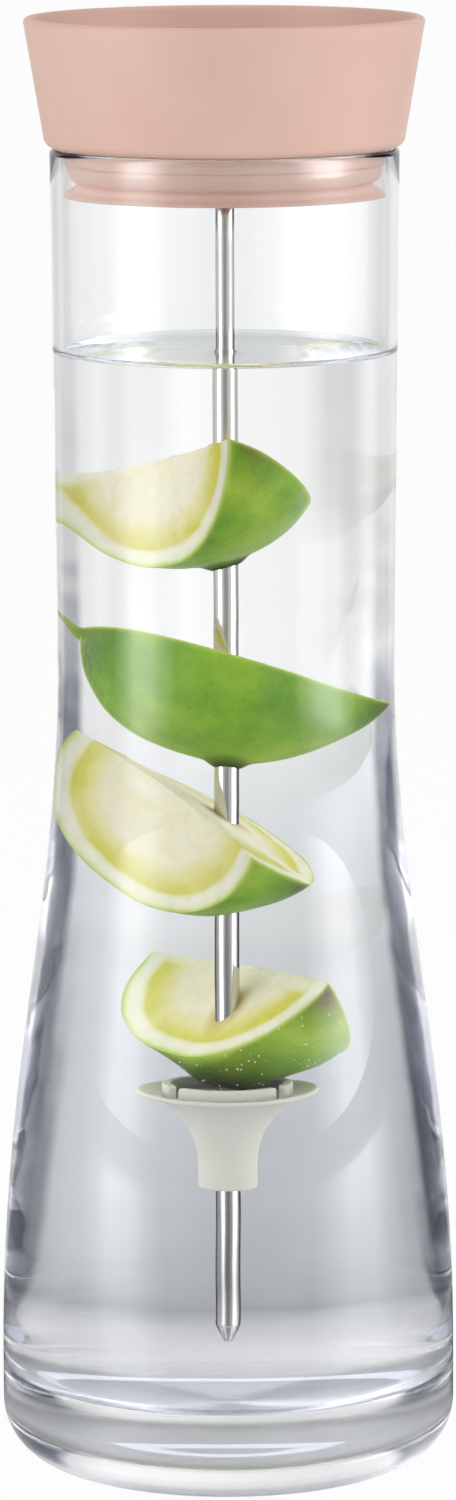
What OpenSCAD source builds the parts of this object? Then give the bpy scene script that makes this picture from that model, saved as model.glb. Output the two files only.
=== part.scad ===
// Fruit infuser pitcher: a waisted glass carafe with a silicone pouring lid,
// a steel fruit skewer, a sliding fruit stopper and four wedges of lime.
// Millimetres. Origin at the centre of the foot, +Z up. The lid pours towards -Y.

/* [Carafe] */
// Height of the glass up to its rim
carafe_h = 279; // [240:1:320]
// Outer radius at the rim
neck_r = 36.4; // [33:0.1:42]
// Outer radius at the waist
waist_r = 35.4; // [33:0.1:40]
// Height of the waist
waist_z = 172; // [150:1:190]
// Outer radius of the belly
belly_r = 48; // [44:0.5:60]
// Height at which the belly is widest
belly_z = 22.5; // [18:0.5:26]
// Reach of the curve that leaves the waist
waist_curve = 54; // [30:1:70]
// Reach of the curve that enters the belly
belly_curve = 63; // [30:1:70]
// Radius of the corner between wall and foot
foot_corner_r = 13; // [8:0.5:15]
// Wall of the neck
wall_t = 2.4; // [1.8:0.1:3]
// Wall of the belly
belly_wall_t = 5; // [3:0.5:7]
// Thickness of the heavy base
base_t = 18; // [12:0.5:22]
// Radius of the corner between cavity wall and floor
floor_corner_r = 10; // [6:0.5:14]
// Depth of the shallow hollow under the foot
foot_dish = 0.8; // [0.4:0.1:1.5]
// Width of the ring that the foot stands on
foot_ring_w = 5; // [3:0.5:8]

/* [Collar] */
// Height of the silicone collar
collar_h = 26.8; // [20:0.2:34]
// How far the rim flares out beyond the bottom
collar_flare = 4; // [2:0.2:8]
// How far the bottom overhangs the glass
collar_overhang = 1.2; // [0.4:0.1:3]
// Wall at the pouring rim
collar_rim_t = 2; // [1.4:0.1:3]
// Wall above the web
collar_root_t = 3.6; // [2.5:0.1:4.5]
// Thickness of the web that rests on the glass
collar_web_t = 3; // [2:0.1:4]
// Round under the bottom edge
collar_round = 2.2; // [1:0.1:2.8]

/* [Neck seal] */
// Depth of the plug in the neck
plug_depth = 10; // [8:0.5:16]
// Height of the upper band
band_h = 3.6; // [2:0.1:4.5]
// Height of the lower sealing lip
lip_h = 1; // [0.6:0.1:1.6]
// Reach of the lips from the barrel to the glass
lip_reach = 4.05; // [3:0.05:6]
// Thickness of the sleeve at its waist
sleeve_t = 1.4; // [1:0.1:2]
// Height of the waist of the sleeve
sleeve_waist_h = 1.8; // [1:0.1:2.4]

/* [Lid core] */
// Wall of the barrel
core_wall_t = 1.6; // [1.2:0.1:2.5]
// Thickness of the plate and flange
plate_t = 1.5; // [1.2:0.1:2.5]
// Width of the flange that holds the collar down
flange_w = 3.5; // [2:0.1:4]
// Radius of the hub that holds the skewer
hub_r = 5; // [4:0.1:6]
// Depth of the skewer socket
socket_depth = 11; // [8:0.5:12]
// Thickness of the ribs from hub to barrel
rib_t = 1.6; // [1:0.1:2.5]
// Height of the ribs
rib_h = 6; // [4:0.5:8]
// Radius of the air hole
vent_r = 2; // [1.5:0.1:3]

/* [Pour flap] */
// Width of the plate left between the window and the edge of the barrel
window_rim_w = 5.5; // [4.5:0.1:8]
// Distance from the axis to the straight side of the window
window_y = 8.5; // [8:0.1:10]
// Width of the gasket around the window
gasket_w = 1.5; // [1:0.1:1.8]
// Thickness of the gasket
gasket_t = 0.8; // [0.5:0.1:1.2]
// Thickness of the flap
flap_t = 1.2; // [1:0.1:2]
// Length of the hinge knuckle
knuckle_l = 24; // [16:1:30]
// Outer radius of the knuckle and of the ears
knuckle_r = 1.7; // [1.5:0.05:1.9]
// Thickness of each hinge ear
ear_t = 2; // [1.5:0.1:3]
// Diameter of the hinge pin
pin_d = 1.6; // [1.2:0.1:2]

/* [Skewer] */
// Diameter of the skewer
skewer_d = 4; // [3:0.1:5]
// Gap between the tip and the floor of the cavity
tip_gap = 8.8; // [6:0.2:20]
// Length of the cone at the tip
tip_l = 3.6; // [2:0.1:6]
// Diameter of the blunt end
tip_d = 1.3; // [0.6:0.1:2]

/* [Fruit stopper] */
// Height from the bottom of the stem to the rim of the dish
stopper_h = 20.8; // [16:0.2:26]
// Radius of the dish
stopper_r = 14.6; // [12:0.1:18]
// Outer radius of the stem
stem_r = 4.7; // [3.8:0.1:6]
// Height of the straight part of the stem
stem_h = 5; // [3:0.5:8]
// Thickness of the edge of the dish
dish_edge_t = 0.9; // [0.6:0.1:1.5]
// Depth of the bowl inside the rim of the dish
bowl_depth = 1.2; // [0.4:0.1:2]
// Outer radius of the raised ring
ring_r = 10.4; // [9:0.1:11.5]
// Wall of the raised ring
ring_t = 1.6; // [1.2:0.1:2]
// Height of the raised ring above the bowl
ring_h = 2.7; // [1.8:0.1:3.4]
// Number of slots in the ring
slot_count = 3; // [2:1:6]
// Width of each slot
slot_w = 2.2; // [1.5:0.1:3]
// Distance from the tip of the skewer up to the stem
stopper_rise = 32.3; // [20:0.1:50]

/* [Fruit] */
// Length of a lime
lime_l = 54; // [46:1:58]
// Radius of a lime
lime_r = 22; // [18:0.5:24]

/* [Fits] */
// Gap between the glass rim and the collar
seat_gap = 0.2; // [0.1:0.05:0.3]
// Gap between the sealing lips and the glass
seal_gap = 0.4; // [0.3:0.05:0.6]
// Gap between the sleeve or collar and the barrel
sleeve_fit = 0.05; // [0.02:0.01:0.1]
// Radial gap between the flap and its pin
pin_fit = 0.05; // [0.02:0.01:0.1]
// Radial gap around the skewer
skewer_fit = 0.05; // [0.02:0.01:0.1]
// Gap between the flap and its gasket, and beside the knuckle
flap_gap = 0.3; // [0.1:0.05:0.4]
// Gap between the fruit and the rim of the dish of the stopper
fruit_gap = 1.5; // [1:0.1:2.5]
// Gap between the fruit and the ring that presses into it
ring_fit = 0.3; // [0.2:0.05:0.5]

/* [Hidden] */
$fn = 96;
over = 1;            // overrun of every cut
curve_steps = 24;    // steps along each long curve
arc_steps = 8;       // steps around each small corner

// Heights that follow from the sizes above
seat_z = carafe_h + seat_gap;
plug_z = seat_z - plug_depth;
plate_z = seat_z + collar_web_t;
plate_top_z = plate_z + plate_t;
flap_z = plate_top_z + gasket_t + flap_gap;
tip_z = base_t + tip_gap;
stopper_z = tip_z + stopper_rise;
dish_z = stopper_z + stopper_h;
bowl_z = dish_z - bowl_depth;

// Radii that follow from the neck, from the glass inwards and outwards
seal_r = neck_r - wall_t - seal_gap;
core_r = seal_r - lip_reach - sleeve_fit;
flange_r = core_r + flange_w;
window_r = core_r - window_rim_w;
collar_foot_r = neck_r + collar_overhang;
collar_rim_r = collar_foot_r + collar_flare;

// The hinge stands behind the window, just above the plate
hinge_y = -(window_y - gasket_w - flap_gap - knuckle_r);
hinge_z = plate_top_z + knuckle_r + flap_gap;

// Where the middle of each lime would lie, sideways as shares of its radius and upwards as a
// share of the way from the lowest lime to the plug
wedge_side_shares = [[-0.31, -0.05], [0.12, 0.37], [-0.24, -0.19], [0.21, 0.3]];
wedge_rise_shares = [0.671, 0.405, 0.224, 0];
wedge_length_shares = [1.07, 0.91, 0.97, 0.86];
// Heading and tilt of the line from the stem end of each lime to its tip
wedge_turn_angles = [[-60, 14], [-1, -19], [-21, -31], [-55, -1.5]];
// The two cuts that free each wedge: roll and skew of each, and how far it lies from the middle
wedge_cut_angles = [[[176, 6], [61, -3]], [[76, -1], [-25, 0]],
                    [[189, 26], [78, -6]], [[140, 0], [31, 2]]];
wedge_cut_shares = [[0.15, -0.05], [-0.05, 0.04], [0.21, 0.05], [0.06, 0.01]];
lowest_wedge_z = dish_z + fruit_gap + lime_r;
wedge_span = plug_z - lowest_wedge_z;

// Point at share t of a curve with four control points
function bezier(p, t) =
    pow(1 - t, 3) * p[0] + 3 * pow(1 - t, 2) * t * p[1] + 3 * (1 - t) * t * t * p[2] + t * t * t * p[3];
function curve(p) = [for (i = [0 : curve_steps]) bezier(p, i / curve_steps)];
// Points of an arc about c, from angle a to angle b
function arc(c, r, a, b) =
    [for (i = [0 : arc_steps]) c + r * [cos(a + (b - a) * i / arc_steps), sin(a + (b - a) * i / arc_steps)]];
function reversed(p) = [for (i = [len(p) - 1 : -1 : 0]) p[i]];

// Side of the body from the belly up to the waist, moved in by the wall
function side(r_low, z_low, r_high) =
    curve([[r_low, z_low], [r_low, belly_z + belly_curve],
           [r_high, waist_z - waist_curve], [r_high, waist_z]]);

// Half section of the glass
function glass_section() =
    let (rim_r = wall_t / 2,
         foot_in_r = belly_r - foot_corner_r - foot_ring_w,
         dish_r = (foot_in_r * foot_in_r + foot_dish * foot_dish) / (2 * foot_dish),
         dish_a = asin(foot_in_r / dish_r))
    concat(
        arc([0, foot_dish - dish_r], dish_r, 90, 90 - dish_a),
        arc([belly_r - foot_corner_r, foot_corner_r], foot_corner_r, -90, 0),
        side(belly_r, belly_z, waist_r),
        arc([neck_r - rim_r, carafe_h - rim_r], rim_r, 0, 180),
        reversed(side(belly_r - belly_wall_t, base_t + floor_corner_r, waist_r - wall_t)),
        arc([belly_r - belly_wall_t - floor_corner_r, base_t + floor_corner_r], floor_corner_r, 0, -90),
        [[0, base_t]]);

module glass_carafe() {
    color([0.82, 0.9, 0.94, 0.4])
        rotate_extrude() polygon(glass_section());
}

// Flared cup of soft silicone around the mouth; it rests on the glass rim
module pouring_collar() {
    rim_z = seat_z + collar_h;
    edge_r = collar_rim_t / 2;
    color([0.9, 0.72, 0.66])
        rotate_extrude() polygon(concat(
            [[core_r + sleeve_fit, seat_z]],
            arc([collar_foot_r - collar_round, seat_z + collar_round], collar_round, -90, 0),
            arc([collar_rim_r - edge_r, rim_z - edge_r], edge_r, 0, 180),
            [[collar_foot_r - collar_root_t, plate_z],
             [core_r + sleeve_fit, plate_z]]));
}

// Silicone sleeve on the barrel, with an upper band and a lower lip against the glass
module neck_seal() {
    inner_r = core_r + sleeve_fit;
    waist_seal_r = inner_r + sleeve_t;
    band_z = seat_z - band_h;
    waist_top_z = plug_z + lip_h + sleeve_waist_h;
    bowl_r = seal_r - waist_seal_r;
    bowl_h = band_z - waist_top_z;
    color([0.91, 0.73, 0.67])
        rotate_extrude() polygon(concat(
            [[inner_r, plug_z], [seal_r, plug_z],
             [seal_r, plug_z + lip_h / 2], [waist_seal_r, plug_z + lip_h]],
            [for (i = [0 : arc_steps]) let (a = 90 * i / arc_steps)
                [waist_seal_r + bowl_r * sin(a), waist_top_z + bowl_h * (1 - cos(a))]],
            [[seal_r, seat_z], [inner_r, seat_z]]));
}

// Outline of the window, grown by w all round
module window_shape(w) {
    reach = window_r + w;
    intersection() {
        circle(r = reach);
        translate([-reach, -reach]) square([2 * reach, reach - window_y + w]);
    }
}

// One hinge ear, standing on the plate at distance x
module hinge_ear(x) {
    translate([x, hinge_y, hinge_z]) rotate([0, 90, 0]) cylinder(r = knuckle_r, h = ear_t);
    translate([x, hinge_y - knuckle_r, plate_z]) cube([ear_t, 2 * knuckle_r, hinge_z - plate_z]);
}

// Rigid insert: barrel, plate with pour window, hub for the skewer and hinge ears
module lid_core() {
    ear_x = knuckle_l / 2 + flap_gap;
    bore_top_z = plug_z + socket_depth;
    color([0.86, 0.66, 0.6])
        difference() {
            union() {
                difference() {
                    translate([0, 0, plug_z]) cylinder(r = core_r, h = plate_top_z - plug_z);
                    translate([0, 0, plug_z - over])
                        cylinder(r = core_r - core_wall_t, h = plate_z - plug_z + over);
                }
                translate([0, 0, plate_z]) cylinder(r = flange_r, h = plate_t);
                translate([0, 0, plug_z]) cylinder(r = hub_r, h = plate_top_z - plug_z);
                translate([-core_r + core_wall_t / 2, -rib_t / 2, plate_z - rib_h])
                    cube([2 * core_r - core_wall_t, rib_t, rib_h + plate_t / 2]);
                hinge_ear(ear_x);
                hinge_ear(-ear_x - ear_t);
            }
            translate([0, 0, plate_z - over]) linear_extrude(plate_t + 2 * over) window_shape(0);
            translate([0, (core_r + hub_r) / 2, plate_z - over]) cylinder(r = vent_r, h = plate_t + 2 * over);
            translate([0, 0, plug_z - over]) cylinder(r = skewer_d / 2 + skewer_fit, h = socket_depth + over);
            translate([-ear_x - ear_t - over, hinge_y, hinge_z]) rotate([0, 90, 0])
                cylinder(d = pin_d, h = 2 * (ear_x + ear_t + over));
        }
}

// Half-moon flap that lies on the gasket and swings up about the pin
module pour_flap() {
    reach_y = window_y - gasket_w;
    color([0.75, 0.76, 0.77])
        difference() {
            union() {
                translate([0, 0, flap_z]) linear_extrude(flap_t) window_shape(gasket_w);
                translate([-knuckle_l / 2, -reach_y - gasket_w, flap_z])
                    cube([knuckle_l, reach_y + gasket_w + hinge_y, flap_t]);
                translate([-knuckle_l / 2, hinge_y, hinge_z]) rotate([0, 90, 0])
                    cylinder(r = knuckle_r, h = knuckle_l);
            }
            translate([-knuckle_l / 2 - over, hinge_y, hinge_z]) rotate([0, 90, 0])
                cylinder(r = pin_d / 2 + pin_fit, h = knuckle_l + 2 * over);
        }
}

module flap_hinge_pin() {
    pin_l = knuckle_l + 2 * (flap_gap + ear_t);
    color([0.7, 0.7, 0.72])
        translate([-pin_l / 2, hinge_y, hinge_z]) rotate([0, 90, 0]) cylinder(d = pin_d, h = pin_l);
}

// Flat silicone ring around the pour window
module flap_gasket() {
    color([0.9, 0.88, 0.85])
        translate([0, 0, plate_top_z]) linear_extrude(gasket_t) difference() {
            window_shape(gasket_w);
            window_shape(0);
        }
}

// Steel rod from the hub down to a blunt cone
module fruit_skewer() {
    color([0.78, 0.78, 0.78]) {
        translate([0, 0, tip_z + tip_l]) cylinder(d = skewer_d, h = plug_z + socket_depth - tip_z - tip_l);
        translate([0, 0, tip_z]) cylinder(d1 = tip_d, d2 = skewer_d, h = tip_l);
    }
}

// Trumpet of silicone that grips the skewer and carries the fruit on a slotted ring
module fruit_stopper() {
    flare_h = stopper_h - stem_h - dish_edge_t;
    flare_power = 1.85;
    color([0.82, 0.81, 0.78])
        difference() {
            union() {
                rotate_extrude() polygon(concat(
                    [[0, stopper_z], [stem_r, stopper_z]],
                    [for (i = [0 : curve_steps]) let (s = i / curve_steps)
                        [stem_r + (stopper_r - stem_r) * (1 - pow(1 - pow(s, flare_power), 1 / flare_power)),
                         stopper_z + stem_h + flare_h * s]],
                    [[stopper_r, dish_z], [stopper_r - dish_edge_t, dish_z],
                     [ring_r + dish_edge_t, bowl_z], [0, bowl_z]]));
                difference() {
                    translate([0, 0, bowl_z - dish_edge_t]) cylinder(r = ring_r, h = ring_h + dish_edge_t);
                    translate([0, 0, bowl_z]) cylinder(r = ring_r - ring_t, h = ring_h + over);
                    for (i = [0 : slot_count - 1])
                        rotate([0, 0, 90 + 360 * i / slot_count])
                            translate([0, -slot_w / 2, bowl_z]) cube([ring_r + over, slot_w, ring_h + over]);
                }
            }
            translate([0, 0, stopper_z - over])
                cylinder(r = skewer_d / 2 + skewer_fit, h = stopper_h + 2 * over);
        }
}

// Half section of a lime of length l: a full, blunt stem end and a more pointed tip
function lime_section(l) =
    let (stem_power = 2.6, stem_root = 0.5, tip_root = 0.7)
    [for (i = [0 : curve_steps]) let (t = -cos(180 * i / curve_steps))
        [lime_r * (t < 0 ? pow(1 - pow(-t, stem_power), stem_root) : pow(1 - t * t, tip_root)), t * l / 2]];

// What the ring of the stopper presses out of the fruit that lies on it
module ring_groove() {
    difference() {
        translate([0, 0, bowl_z]) cylinder(r = ring_r + ring_fit, h = ring_h + ring_fit);
        translate([0, 0, bowl_z - over])
            cylinder(r = ring_r - ring_t - ring_fit, h = ring_h + ring_fit + 2 * over);
    }
}

// Wedge i: a lime lying along X, with what is outside the two cuts taken away, then turned
// into its place and pierced by the skewer
module lime_wedge(i) {
    reach = lime_l + lime_r;
    color([0.62, 0.75, 0.25])
        difference() {
            translate([lime_r * wedge_side_shares[i].x, lime_r * wedge_side_shares[i].y,
                       lowest_wedge_z + wedge_span * wedge_rise_shares[i]])
                rotate([0, -wedge_turn_angles[i][1], wedge_turn_angles[i][0]])
                    difference() {
                        rotate([0, 90, 0]) rotate_extrude()
                            polygon(lime_section(lime_l * wedge_length_shares[i]));
                        for (k = [0, 1])
                            rotate([wedge_cut_angles[i][k][0], 0, 0])
                                rotate([0, 0, wedge_cut_angles[i][k][1]])
                                    translate([-reach, lime_r * wedge_cut_shares[i][k], -reach])
                                        cube(2 * reach);
                    }
            translate([0, 0, tip_z]) cylinder(r = skewer_d / 2 + skewer_fit, h = plug_z - tip_z);
            ring_groove();
        }
}

glass_carafe();
pouring_collar();
neck_seal();
lid_core();
pour_flap();
flap_hinge_pin();
flap_gasket();
fruit_skewer();
fruit_stopper();
lime_wedge(0);  // lime_wedge_1
lime_wedge(1);  // lime_wedge_2
lime_wedge(2);  // lime_wedge_3
lime_wedge(3);  // lime_wedge_4
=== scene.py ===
# Looks of the fruit infuser pitcher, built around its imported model.
# Sizes in the dictionaries are millimetres unless a note says otherwise.
import math

import bmesh
import bpy
from mathutils import Matrix, Vector, noise


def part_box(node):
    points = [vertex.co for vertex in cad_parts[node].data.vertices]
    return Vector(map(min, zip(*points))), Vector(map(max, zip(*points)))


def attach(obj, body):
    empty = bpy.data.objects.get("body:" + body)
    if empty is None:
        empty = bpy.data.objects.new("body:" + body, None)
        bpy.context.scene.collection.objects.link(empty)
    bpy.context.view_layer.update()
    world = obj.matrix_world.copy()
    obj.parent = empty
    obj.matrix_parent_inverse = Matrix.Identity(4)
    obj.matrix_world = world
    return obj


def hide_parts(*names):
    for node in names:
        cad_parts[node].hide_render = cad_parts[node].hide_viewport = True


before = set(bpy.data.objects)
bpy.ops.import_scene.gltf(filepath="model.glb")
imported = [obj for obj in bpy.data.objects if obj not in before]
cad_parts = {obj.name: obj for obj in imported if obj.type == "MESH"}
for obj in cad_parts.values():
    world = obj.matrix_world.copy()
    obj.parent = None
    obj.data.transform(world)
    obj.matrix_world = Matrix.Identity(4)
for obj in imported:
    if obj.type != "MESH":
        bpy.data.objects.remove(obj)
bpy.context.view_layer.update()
scene = bpy.context.scene
mm = 0.001


# sRGB hex to the linear colour that Blender's sockets take
def hexColour(code):
    def toLinear(c):
        return c / 12.92 if c <= 0.04045 else ((c + 0.055) / 1.055) ** 2.4
    return tuple(toLinear(int(code[i:i + 2], 16) / 255) for i in (1, 3, 5)) + (1.0,)


# one node with its inputs, the stops of its ramp and its settings. Shader nodes go by the end of
# their names. An input is a value, a hex code that turns into its colour, a socket to link from, or
# a node, which stands for the first of its outputs that is in use
def addNode(tree, kind, inputs=None, stops=(), **settings):
    node = tree.nodes.new(kind if "Node" in kind else "ShaderNode" + kind)
    for name, value in settings.items():
        setattr(node, name, value)
    for name, value in (inputs or {}).items():
        if isinstance(value, bpy.types.Node):
            value = next(socket for socket in value.outputs if socket.enabled)
        if isinstance(value, bpy.types.NodeSocket):
            tree.links.new(value, node.inputs[name])
        else:
            node.inputs[name].default_value = hexColour(value) if isinstance(value, str) else value
    if stops:
        elements = node.color_ramp.elements
        while len(elements) < len(stops):
            elements.new(0.5)
        for element, (position, value) in zip(elements, stops):
            element.position = position
            element.color = hexColour(value) if isinstance(value, str) else (value, value, value, 1)
    return node


def addMath(tree, operation, *parts):
    return addNode(tree, "Math", dict(enumerate(parts)), operation=operation)


# one colour laid over another by a share
def mixColour(tree, share, under, over, blend="MIX"):
    return addNode(tree, "Mix", {0: share, 6: under, 7: over}, data_type="RGBA", blend_type=blend)


# a material, its tree and the place on the object that its patterns follow
def newMaterial(name):
    mat = bpy.data.materials.new(name)
    mat.use_nodes = True
    mat.node_tree.nodes.clear()
    return mat, mat.node_tree, addNode(mat.node_tree, "TexCoord").outputs["Object"]


def endMaterial(mat, shader):
    addNode(mat.node_tree, "OutputMaterial", {"Surface": shader})
    return mat


def addObject(name, mesh):
    obj = bpy.data.objects.new(name, mesh)
    scene.collection.objects.link(obj)
    return obj


def toObject(name, bm, materials):
    mesh = bpy.data.meshes.new(name)
    bm.to_mesh(mesh)
    bm.free()
    for mat in materials:
        mesh.materials.append(mat)
    return addObject(name, mesh)


# faces between two rings of a turned surface, either of which may be a single point
def bandFaces(bm, low, high, segments):
    faces = []
    for k in range(segments):
        n = (k + 1) % segments
        corners = []
        for v in (low[k % len(low)], low[n % len(low)], high[n % len(high)], high[k % len(high)]):
            if v not in corners:
                corners.append(v)
        if len(corners) > 2:
            faces.append(bm.faces.new(corners))
            faces[-1].smooth = True
    return faces


# turns an outline of (radius, height) in millimetres about the vertical axis
def lathe(name, outline, materials, pick=None, segments=192, closed=False, onAxis=1e-6):
    bm = bmesh.new()
    rings = []
    for r, z in outline:
        if r < onAxis:
            rings.append([bm.verts.new((0, 0, z * mm))])
        else:
            rings.append([bm.verts.new((r * math.cos(a) * mm, r * math.sin(a) * mm, z * mm))
                          for a in (2 * math.pi * k / segments for k in range(segments))])
    pairs = list(zip(rings, rings[1:])) + ([(rings[-1], rings[0])] if closed else [])
    for i, (low, high) in enumerate(pairs):
        for face in bandFaces(bm, low, high, segments):
            face.material_index = pick(i) if pick else 0
    bmesh.ops.recalc_face_normals(bm, faces=bm.faces)
    return toObject(name, bm, materials)


def bezier(points, steps):
    p = [Vector(q) for q in points]
    out = []
    for i in range(steps + 1):
        t = i / steps
        v = p[0] * (1 - t) ** 3 + p[1] * 3 * t * (1 - t) ** 2 + p[2] * 3 * t * t * (1 - t) + p[3] * t ** 3
        out.append((v.x, v.y))
    return out


def arc(cx, cz, r, start, end, steps=16):
    return [(cx + r * math.cos(a), cz + r * math.sin(a))
            for a in (math.radians(start + (end - start) * i / steps) for i in range(steps + 1))]


# the points between two ends, without the ends
def straight(start, end, steps):
    return [(start[0] + (end[0] - start[0]) * k / steps, start[1] + (end[1] - start[1]) * k / steps)
            for k in range(1, steps)]


# a softened edge, given as steps outwards and upwards from its sharp corner
def softEdge(r, z, steps):
    return [(r + out, z + up) for out, up in steps]


# Camera: the photograph's place, 1.43 m in front and looking down by 9.4 degrees
cameraPlan = {"distance": 1433.2, "height": 390.5, "side": 0.33, "lookDown": 9.445, "roll": -0.184,
              "focalPixels": 6900, "framePixels": 1500, "farthest": 50000}
# the heavy foot sends light round many times before it leaves
bounces = {"max_bounces": 48, "glossy_bounces": 32, "transmission_bounces": 48}


def makeCamera():
    c = cameraPlan
    cam = bpy.data.cameras.new("camera")
    cam.lens = c["focalPixels"] / c["framePixels"] * cam.sensor_width
    cam.clip_end = c["farthest"] * mm
    camera = addObject("camera", cam)
    camera.matrix_world = (Matrix.Translation(Vector((c["side"], -c["distance"], c["height"])) * mm)
                           @ Matrix.Rotation(math.radians(90 - c["lookDown"]), 4, "X")
                           @ Matrix.Rotation(math.radians(c["roll"]), 4, "Z"))
    scene.camera = camera
    for name, count in bounces.items():
        setattr(scene.cycles, name, count)


makeCamera()
print("camera set")

carafe = {"height": 279, "neckR": 36.4, "waistR": 35.4, "waistZ": 172, "bellyR": 48, "bellyZ": 22.5,
          "waistCurve": 54, "bellyCurve": 63, "footCornerR": 13, "wall": 2.4, "bellyWall": 5,
          "baseT": 18, "floorCornerR": 10, "footDish": 0.8, "footRing": 5, "groundH": 6.0,
          "ior": 1.5, "segments": 224}
water = {"level": 236.0, "rise": 1.6, "riseWidth": 1.3, "skewerRise": 1.0, "gap": 0.04, "skewerR": 2.0,
         "ior": 1.333, "wallRings": (0.15, 0.35, 0.6, 0.95, 1.4, 2.0, 2.9, 4.2, 6.0, 9.0, 14.0, 20.0),
         "rodRings": (10.0, 6.5, 4.8, 3.8, 3.2, 2.7, 2.35, 2.0, 1.0)}
# slow ripples that blowing leaves in the inner wall: height in metres, and how many to a metre
ripples = {"height": 0.0009, "perMetre": (22, 22, 80)}


def clearMaterial(name, ior, code, waves=None):
    mat, tree, coord = newMaterial(name)
    inputs = {"Base Color": code, "Roughness": 0.0, "IOR": ior, "Transmission Weight": 1.0}
    if waves:
        stretch = addNode(tree, "Mapping", {"Scale": waves["perMetre"], "Vector": coord})
        ripple = addNode(tree, "TexNoise", {"Scale": 1, "Detail": 1, "Vector": stretch})
        inputs["Normal"] = addNode(tree, "Bump", {"Distance": waves["height"], "Height": ripple})
    return endMaterial(mat, addNode(tree, "BsdfPrincipled", inputs))


# Soda-lime glass, blown and fire polished: clear, with a trace of a cool tint
blownGlass = clearMaterial("blownGlass", carafe["ior"], "#FDFEFE")
# Glass against water: the step in index is small, so this face hardly shines
wettedGlass = clearMaterial("wettedGlass", carafe["ior"] / water["ior"], "#FFFFFF", ripples)
# Still water with a free surface
waterSurface = clearMaterial("waterSurface", water["ior"], "#FEFFFE")
# The side of the water that lies on the glass bends nothing more
waterSide = clearMaterial("waterSide", 1.0, "#FFFFFF")


# The underside of the foot, ground flat after it was blown: the scratches scatter light, so the face looks
# pale and soft from above. Towards its hollow in the middle it is painted greyer, as painted shade for the
# dim table under the foot.
# The grit is drawn 0.7 mm wide, coarser than it is, and it thins out over the corner of the foot
def groundGlassMaterial():
    mat, tree, coord = newMaterial("groundGlass")
    fromAxis = addNode(tree, "VectorMath", {0: coord}, operation="LENGTH")
    share = addMath(tree, "DIVIDE", fromAxis, carafe["bellyR"] * mm)
    # painted shade: greyer near the axis, in the hollow of the foot, paler towards its edge
    colour = addNode(tree, "ValToRGB", {"Fac": share}, stops=[
        (0.3, "#D2D6E8"), (0.55, "#DEE1F0"), (0.75, "#F6F8FF")])
    grit = addNode(tree, "TexNoise", {"Scale": 1500, "Detail": 2, "Vector": coord})
    bump = addNode(tree, "Bump", {"Strength": 0.3, "Distance": 0.00004, "Height": grit})
    scatter = addNode(tree, "BsdfDiffuse", {"Color": colour, "Normal": bump})
    passed = addNode(tree, "BsdfTranslucent", {"Color": "#F2F5FF"})
    hazy = addNode(tree, "MixShader", {0: 0.45, 1: scatter, 2: passed})
    clear = addNode(tree, "BsdfPrincipled", {
        "Base Color": "#FDFEFE", "Roughness": 0.18, "IOR": carafe["ior"], "Transmission Weight": 1.0})
    height = addNode(tree, "SeparateXYZ", {"Vector": coord}).outputs["Z"]
    clearness = addNode(tree, "MapRange", {
        "From Max": carafe["groundH"] * mm, "To Min": 0.1, "Value": height})
    mix = addNode(tree, "MixShader", {0: clearness, 1: hazy, 2: clear})
    return endMaterial(mat, mix)


groundGlass = groundGlassMaterial()


def bodySide(rLow, zLow, rHigh, steps=48):
    c = carafe
    return bezier([(rLow, zLow), (rLow, c["bellyZ"] + c["bellyCurve"]),
                   (rHigh, c["waistZ"] - c["waistCurve"]), (rHigh, c["waistZ"])], steps)


# inner wall from the axis of the floor up to the rim or the water line, moved in by a gap
def cavityOutline(gap=0.0, toRim=True, wetSteps=8, drySteps=6):
    c = carafe
    inR = c["bellyR"] - c["bellyWall"]
    cornerZ = c["baseT"] + c["floorCornerR"]
    neckTop = c["height"] - c["wall"] / 2
    neckIn = c["neckR"] - c["wall"]
    waistIn = c["waistR"] - c["wall"]
    floorR = inR - c["floorCornerR"]
    line = [(0, c["baseT"])] + straight((0, c["baseT"]), (floorR, c["baseT"]), 6)
    line += arc(floorR, cornerZ, c["floorCornerR"], -90, 0)
    line += bodySide(inR, cornerZ, waistIn)[1:]
    line = [(max(r - gap, 0), z + (gap if z < cornerZ else 0)) for r, z in line]

    def neckAt(z):
        return waistIn + (neckIn - waistIn) * (z - c["waistZ"]) / (neckTop - c["waistZ"]) - gap
    wet = water["level"] + water["rise"]
    heights = [c["waistZ"] + (wet - c["waistZ"]) * k / wetSteps for k in range(1, wetSteps + 1)]
    if toRim:
        heights += [wet + (neckTop - wet) * k / drySteps for k in range(1, drySteps + 1)]
    return line + [(neckAt(z), z) for z in heights]


def makeCarafe():
    c = carafe
    rimR = c["wall"] / 2
    cornerX = c["bellyR"] - c["footCornerR"]
    ringIn = cornerX - c["footRing"]
    dishR = (ringIn ** 2 + c["footDish"] ** 2) / (2 * c["footDish"])
    dishA = math.degrees(math.asin(ringIn / dishR))
    outer = arc(0, c["footDish"] - dishR, dishR, 90, 90 - dishA, 10)
    outer[0] = (0, c["footDish"])
    outer += arc(cornerX, c["footCornerR"], c["footCornerR"], -90, 0, 28)
    outer += bodySide(c["bellyR"], c["bellyZ"], c["waistR"], 64)
    neckTop = c["height"] - rimR
    outer += straight((c["waistR"], c["waistZ"]), (c["neckR"], neckTop), 14)
    outer += arc(c["neckR"] - rimR, neckTop, rimR, 0, 180)
    outline = outer + cavityOutline()[::-1][1:]
    wet = water["level"] + water["rise"] + water["gap"] / 4
    ground = next(i for i, (r, z) in enumerate(outline) if r > cornerX and z > c["groundH"])

    def pick(i):
        if i < ground:
            return 2
        return 1 if i >= len(outer) - 1 and outline[i][1] <= wet else 0
    glass = lathe("carafe_glass", outline, [blownGlass, wettedGlass, groundGlass], pick, c["segments"])
    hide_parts("glass_carafe")
    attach(glass, "carafe")


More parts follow.
